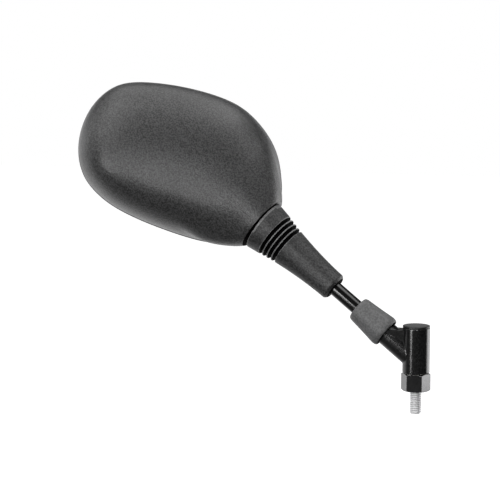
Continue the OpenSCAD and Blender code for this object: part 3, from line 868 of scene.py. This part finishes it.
def swell(points, centre):
    """Each point of the plain dome moved out from the centre to the joined dome and neck."""
    away = points - centre
    length = np.linalg.norm(away, axis=1)
    ray = away / length[:, None]
    steps = np.linspace(0, 60, 121)
    value = np.stack([head_distance(centre + ray * (length + s)[:, None]) for s in steps])
    inside = value < 0
    last = np.where(inside.any(0), len(steps) - 1 - np.argmax(inside[::-1], 0), -1)
    low = np.where(last >= 0, steps[np.maximum(last, 0)], -1.0)
    high = low + (steps[1] - steps[0])
    for _ in range(14):
        mid = 0.5 * (low + high)
        within = head_distance(centre + ray * (length + mid)[:, None]) < 0
        low, high = np.where(within, mid, low), np.where(within, high, mid)
    moved = np.where(last >= 0, low, 0.0)
    return centre + ray * (length + moved)[:, None]


def rim_rings(layers):
    """Rings of the head's outline from (inset, height over the rim's front) layers."""
    return [np.column_stack([inset(RIM, d), np.full(len(RIM), h - RIM_FRONT)]) for d, h in layers]


def in_neck_gap(polygon):
    """True for the hole in the neck's end, and for the end where its gap to the collar is open; these
    faces get painted shade.
    """
    offset = polygon.center - (BALL - STEM * NECK_OUT * MM)
    out = offset.dot(STEM)
    on_end = abs(out) < 0.02 * MM and offset.dot(COLLAR_CLOSE) < GAP_OPEN * MM
    return on_end or out > 0 and offset.cross(STEM).length < (NECK_HOLE / 2 + 0.1) * MM


def housing():
    """The moulded shell: bead, full dome and neck run together, open at the front."""
    rows, crowding = 96, 1.4
    sides = len(RIM)
    rings = rim_rings([
        (SHELL_WALL, 9.0), (SHELL_WALL, 0.5), (SHELL_WALL - 0.4, 0.08), (SHELL_WALL - 0.9, 0.0),
        (1.0, 0.0), (0.45, 0.12), (0.12, 0.45), (0.0, 1.0), (0.0, BEAD_H - 0.35),
        (0.08, BEAD_H - 0.08), (0.3, BEAD_H + 0.05), (0.62, BEAD_H + 0.12)])
    first_dome = len(rings)
    for u in np.linspace(0, 1, rows):
        a = math.pi / 2 * (1 - (1 - u) ** crowding)
        ring = dome_ring(DOME_LINE, max(math.cos(a), 0) ** (2 / SHOULDER))
        share = np.clip(share_at(ring[:, 0], ring[:, 1]), 0, 1) if u else np.ones(sides)
        height = DOME_FOOT + DOME_RISE * (1 - share ** SHOULDER) ** (1 / CROWN)
        rings.append(np.column_stack([ring, height]))
    points = np.concatenate(rings)
    dome = np.arange(len(points)) >= first_dome * sides
    near = dome & (np.linalg.norm(points, axis=1) < NECK_ZONE) & (points[:, 2] > DOME_FOOT + 0.5)
    points[near] = swell(points[near], np.array([*MIDDLE, SWELL_DEPTH]))
    mesh = mesh_of("housing", points, strip_faces(len(rings), sides))
    work = bmesh.new()
    work.from_mesh(mesh)
    cut = bmesh.ops.bisect_plane(work, geom=work.verts[:] + work.edges[:] + work.faces[:], dist=1e-5,
                                 plane_co=NECK_DIR * NECK_OUT, plane_no=NECK_DIR, clear_outer=True)
    loop = [e for e in cut["geom_cut"] if isinstance(e, bmesh.types.BMEdge)]
    grown = bmesh.ops.extrude_edge_only(work, edges=loop)["geom"]
    middle = Vector(NECK_DIR * NECK_OUT)
    for v in (g for g in grown if isinstance(g, bmesh.types.BMVert)):
        out = (v.co - middle).normalized()
        v.co = middle + out * NECK_HOLE / 2
    loop = [g for g in grown if isinstance(g, bmesh.types.BMEdge)]
    grown = bmesh.ops.extrude_edge_only(work, edges=loop)["geom"]
    for v in (g for g in grown if isinstance(g, bmesh.types.BMVert)):
        v.co -= Vector(NECK_DIR * NECK_HOLE_DEPTH)
    bmesh.ops.recalc_face_normals(work, faces=work.faces)
    work.to_mesh(mesh)
    work.free()
    mesh.transform(HEAD_FRAME)
    shell = dress("housing", mesh, "head", ["rear_housing"], "textured_black", 32)
    # Painted shade in the neck's hole and on its end by the collar
    paint(shell, "gap_shade_black", in_neck_gap)


def plate(name, layers, body, nodes_shown, slot, crown):
    """A flat plate through the layers of rim_rings, domed on its front by crown."""
    sides = len(RIM)
    rings = rim_rings(layers)
    front = rings[0]
    caps = [np.column_stack([MIDDLE + s * (front[:, :2] - MIDDLE),
                             front[:, 2] - crown * (1 - s * s)])
            for s in np.linspace(1, 0, 14)[1:-1]]
    rings = caps[::-1] + rings
    points = np.concatenate(rings + [[[*MIDDLE, front[0, 2] - crown]]])
    faces = strip_faces(len(rings), sides)
    tip = len(points) - 1
    faces += [(tip, (i + 1) % sides, i) for i in range(sides)]
    last = (len(rings) - 1) * sides
    faces.append(tuple(last + i for i in range(sides)))
    place(name, points, faces, HEAD_FRAME, body, nodes_shown, slot)


def glass_and_seal():
    """The mirror plate with a rounded edge, and the soft lip that holds it."""
    a, b, z = SHELL_WALL + RUN_GAP, SHELL_WALL + RUN_GAP + SEAL_W, GLASS_SINK
    layers = [(b + 0.7, z), (b + 0.35, z + 0.12), (b, z + 0.5), (b, z + GLASS_T)]
    plate("mirror_plate", layers, "head", ["mirror_glass"], "mirror_face", GLASS_BULGE)
    rings = rim_rings([(a, 5.0), (a, 0.8), (a + 0.15, 0.4), (a + 0.5, 0.22), (a + 0.95, 0.2),
                       (a + 1.4, 0.3), (b - 0.05, 0.55), (b, 0.9), (b, 5.0)])
    faces = strip_faces(len(rings), len(RIM)) + closing_faces(len(rings), len(RIM))
    place("seal", np.concatenate(rings), faces, HEAD_FRAME, "head", ["glass_seal"], "boot_rubber")


hexagon_base()
threaded_bolt()
cast_knuckle()
barrel_cap()
stem()
rubber_cover()
boot()
housing()
glass_and_seal()


# Studio


# Camera: azimuth and height of the view, its distance and its target, all from the photograph
VIEW_AZIMUTH, VIEW_ELEVATION = 22.0, 6.5
VIEW_DISTANCE = 1.0
VIEW_TARGET = Vector((-115.2, -5.71, 88.52)) * MM
FOCAL_PIXELS = 1478.1


def toward(azimuth, elevation=0.0):
    """The direction from the object at an azimuth, 0 to the camera and + to its right."""
    a, e = math.radians(VIEW_AZIMUTH + azimuth), math.radians(elevation)
    return Vector((math.sin(a) * math.cos(e), -math.cos(a) * math.cos(e), math.sin(e)))


def lit_share(tree, vector, low, high):
    """0 in front of the object and 1 behind it, where the white backdrop is lit."""
    dot = add(tree, "ShaderNodeVectorMath", operation="DOT_PRODUCT")
    tree.links.new(vector, dot.inputs[0])
    dot.inputs[1].default_value = toward(180)
    node = add(tree, "ShaderNodeMapRange", interpolation_type="SMOOTHSTEP")
    node.inputs["From Min"].default_value = low
    node.inputs["From Max"].default_value = high
    tree.links.new(dot.outputs["Value"], node.inputs["Value"])
    return node.outputs["Result"]


# Heights of the direction at which the lit backdrop starts to end and has ended
BACKDROP_TOP = (0.05, 0.45)


def white_world():
    """A white backdrop for the camera and glass; round the object it lights the far side only."""
    world = bpy.data.worlds.new("studio")
    bpy.context.scene.world = world
    world.use_nodes = True
    tree = world.node_tree
    tree.nodes.clear()
    out = add(tree, "ShaderNodeOutputWorld")
    path = add(tree, "ShaderNodeLightPath")
    seen = add(tree, "ShaderNodeBackground", Color=(1, 1, 1, 1), Strength=1.0)
    room = add(tree, "ShaderNodeBackground", Strength=1.0)
    direction = add(tree, "ShaderNodeTexCoord").outputs["Generated"]
    height = add(tree, "ShaderNodeSeparateXYZ")
    tree.links.new(direction, height.inputs[0])
    below_top = add(tree, "ShaderNodeMapRange", interpolation_type="SMOOTHSTEP")
    for name, value in zip(("From Min", "From Max", "To Min", "To Max"), BACKDROP_TOP + (1.0, 0.0)):
        below_top.inputs[name].default_value = value
    tree.links.new(height.outputs["Z"], below_top.inputs["Value"])
    share = add(tree, "ShaderNodeMath", operation="MULTIPLY")
    tree.links.new(lit_share(tree, direction, -0.15, 0.45), share.inputs[0])
    tree.links.new(below_top.outputs["Result"], share.inputs[1])
    level = ramp(tree, share.outputs[0], 0.0, 1.0, grey(0.02), grey(1.0))
    tree.links.new(level, room.inputs["Color"])
    direct = add(tree, "ShaderNodeMath", operation="MAXIMUM")
    tree.links.new(path.outputs["Is Camera Ray"], direct.inputs[0])
    tree.links.new(path.outputs["Is Transmission Ray"], direct.inputs[1])
    mix = add(tree, "ShaderNodeMixShader")
    tree.links.new(direct.outputs[0], mix.inputs["Fac"])
    tree.links.new(room.outputs[0], mix.inputs[1])
    tree.links.new(seen.outputs[0], mix.inputs[2])
    tree.links.new(mix.outputs[0], out.inputs["Surface"])


FLOOR_HEIGHT, FLOOR_REACH = -0.25, 6.0


def white_floor():
    """A floor that glows white for the camera, and less for the object, on the far side only."""
    mesh = bpy.data.meshes.new("floor")
    r, z = FLOOR_REACH, FLOOR_HEIGHT
    mesh.from_pydata([(-r, -r, z), (r, -r, z), (r, r, z), (-r, r, z)], [], [(0, 1, 2, 3)])
    floor = bpy.data.objects.new("floor", mesh)
    bpy.context.scene.collection.objects.link(floor)
    mat, tree, bsdf = material("floor_white")
    bsdf.inputs["Roughness"].default_value = 0.9
    position = add(tree, "ShaderNodeNewGeometry").outputs["Position"]
    lit = lit_share(tree, position, -0.1, 0.6)
    tree.links.new(ramp(tree, lit, 0.0, 1.0, grey(0.05), grey(0.5)), bsdf.inputs["Base Color"])
    path = add(tree, "ShaderNodeLightPath")
    glow = add(tree, "ShaderNodeEmission", Color=(1, 1, 1, 1))
    level = add(tree, "ShaderNodeMath", operation="MULTIPLY")
    tree.links.new(lit, level.inputs[0])
    level.inputs[1].default_value = 0.85
    strength = add(tree, "ShaderNodeMix", data_type="FLOAT")
    tree.links.new(path.outputs["Is Camera Ray"], strength.inputs["Factor"])
    tree.links.new(level.outputs[0], strength.inputs["A"])
    strength.inputs["B"].default_value = 1.0
    tree.links.new(strength.outputs["Result"], glow.inputs["Strength"])
    both = add(tree, "ShaderNodeAddShader")
    tree.links.new(bsdf.outputs[0], both.inputs[0])
    tree.links.new(glow.outputs[0], both.inputs[1])
    tree.links.new(both.outputs[0], tree.nodes["Material Output"].inputs["Surface"])
    mesh.materials.append(mat)


def soft_light(name, direction, distance, size, radiance, lean=0.0):
    """A softbox of width and height in metres that shows the object an even radiance."""
    width, height = size
    data = bpy.data.lights.new(name, "AREA")
    data.shape = "RECTANGLE"
    data.size, data.size_y = width, height
    data.energy = radiance * math.pi * width * height
    obj = bpy.data.objects.new(name, data)
    bpy.context.scene.collection.objects.link(obj)
    obj.location = VIEW_TARGET + distance * direction
    turned = Quaternion((0, 0, 1), math.radians(lean))
    obj.rotation_euler = (direction.to_track_quat("Z", "Y") @ turned).to_euler()
    obj.visible_camera = False


def place_camera():
    back = toward(0, VIEW_ELEVATION)
    data = bpy.data.cameras.new("camera")
    data.sensor_width = 36.0
    data.lens = FOCAL_PIXELS / IMAGE_WIDTH * data.sensor_width
    data.clip_end = 50.0
    camera = bpy.data.objects.new("camera", data)
    bpy.context.scene.collection.objects.link(camera)
    camera.location = VIEW_TARGET + VIEW_DISTANCE * back
    camera.rotation_euler = back.to_track_quat("Z", "Y").to_euler()
    bpy.context.scene.camera = camera


white_world()
white_floor()
soft_light("left_strip", toward(-37.5, 0), 1.3, (0.25, 0.75), 13.0, lean=-47.0)
soft_light("right_box", toward(111, 0), 1.2, (0.83, 1.0), 2.6)
soft_light("top_box", toward(84, 64), 1.2, (1.1, 0.42), 2.05)
soft_light("overhead", toward(180, 80), 1.3, (1.6, 1.6), 1.6)
soft_light("left_high", toward(-48, 48), 1.3, (1.2, 1.2), 2.0)
soft_light("right_high", toward(58, 40), 1.3, (1.0, 1.0), 0.5)
soft_light("left_side", toward(-100, 28), 1.3, (1.0, 1.0), 1.0)
soft_light("front_light", toward(2, 9), 1.3, (0.3, 0.2), 28.0)
place_camera()

bpy.context.scene.view_settings.view_transform = "Standard"
